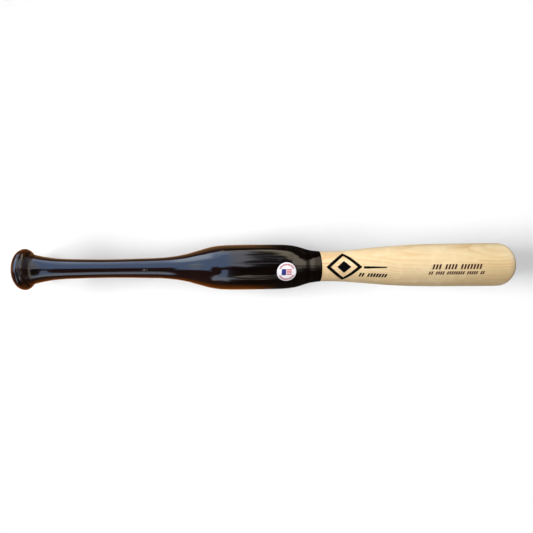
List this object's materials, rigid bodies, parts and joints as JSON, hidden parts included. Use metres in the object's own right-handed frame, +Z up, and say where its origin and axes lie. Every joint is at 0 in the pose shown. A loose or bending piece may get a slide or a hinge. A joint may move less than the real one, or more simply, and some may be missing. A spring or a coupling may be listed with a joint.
{
  "type": "one-hand batting trainer bat",
  "caption": "Short turned wooden training bat with a round knob, thin grip, weighted mid swell, narrow throat and blunt barrel, dark lacquer on the grip half and bare maple on the barrel.",
  "frame": {"origin": "on the surface the bat lies on, under the middle of its bounding box", "axes": "+X along the bat from the knob to the barrel end, +Y across it, +Z up from the surface; the sticker and the mark face +Z"},
  "size_m": [0.635, 0.058, 0.0581],
  "materials": {
    "maple": "clear satin",
    "dark_lacquer": "high gloss",
    "sticker_white": "smooth printed film",
    "black_vinyl": "satin"
  },
  "bodies": {
    "root": {"maple_billet": "maple", "lacquer_coat": "dark_lacquer", "round_sticker": "sticker_white", "mark_lozenge_ring": "black_vinyl", "mark_lozenge_core": "black_vinyl", "mark_bar": "black_vinyl"}
  },
  "joints": []
}
